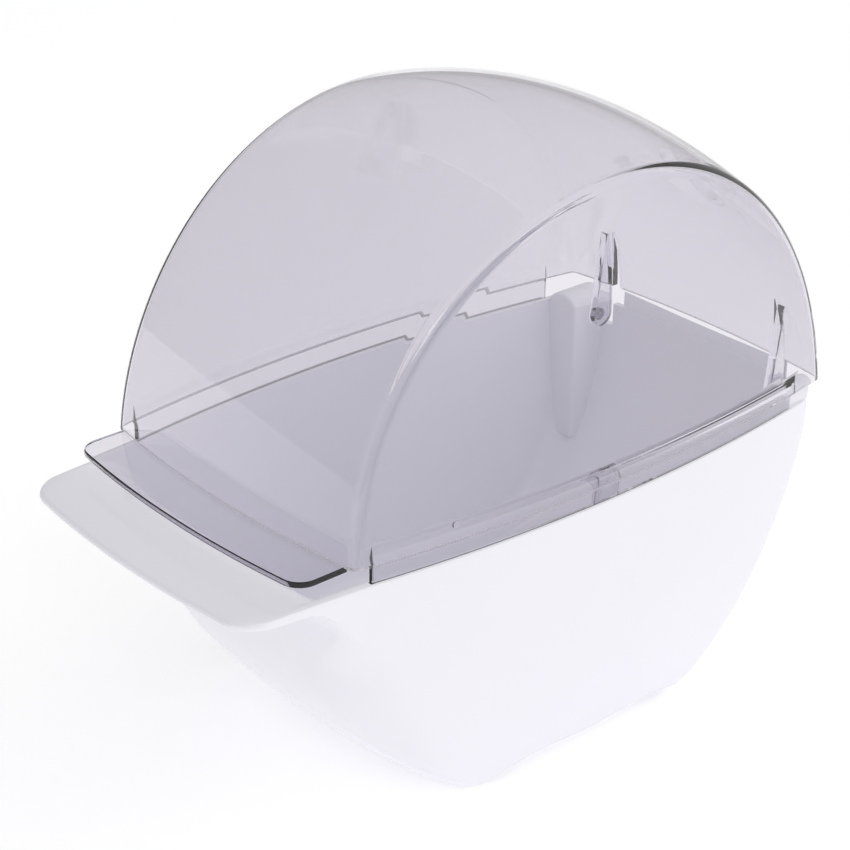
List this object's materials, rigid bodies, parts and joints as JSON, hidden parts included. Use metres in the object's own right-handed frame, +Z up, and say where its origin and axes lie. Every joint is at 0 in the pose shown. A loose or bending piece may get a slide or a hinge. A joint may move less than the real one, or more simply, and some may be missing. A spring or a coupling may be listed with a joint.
{
  "type": "swab roll dispenser box",
  "caption": "Desk-top dispenser box for a roll of perforated swabs: a white tub with a tear-off lip under a clear domed lid hinged at the back.",
  "frame": {"origin": "centre of the footprint of the bounding box, on the surface the box stands on", "axes": "+Y from the tear-off lip to the hinge, +Z up, +X to the right of someone who faces the lip"},
  "size_m": [0.1234, 0.2224, 0.1887],
  "materials": {
    "tub": "glossy white moulded plastic",
    "lid": "clear, lightly smoke-tinted plastic",
    "pad": "soft grey"
  },
  "bodies": {
    "tub": {"base_tub": "tub", "foot_pad_front_left": "pad", "foot_pad_front_right": "pad", "foot_pad_back_left": "pad", "foot_pad_back_right": "pad"},
    "lid": {"clear_lid": "lid"}
  },
  "joints": [
    {"name": "lid_hinge", "type": "hinge", "parent": "tub", "child": "lid", "pos_m": [0, 0.103, 0.084], "axis": [-1, 0, 0], "range_deg": [0, 95]}
  ]
}
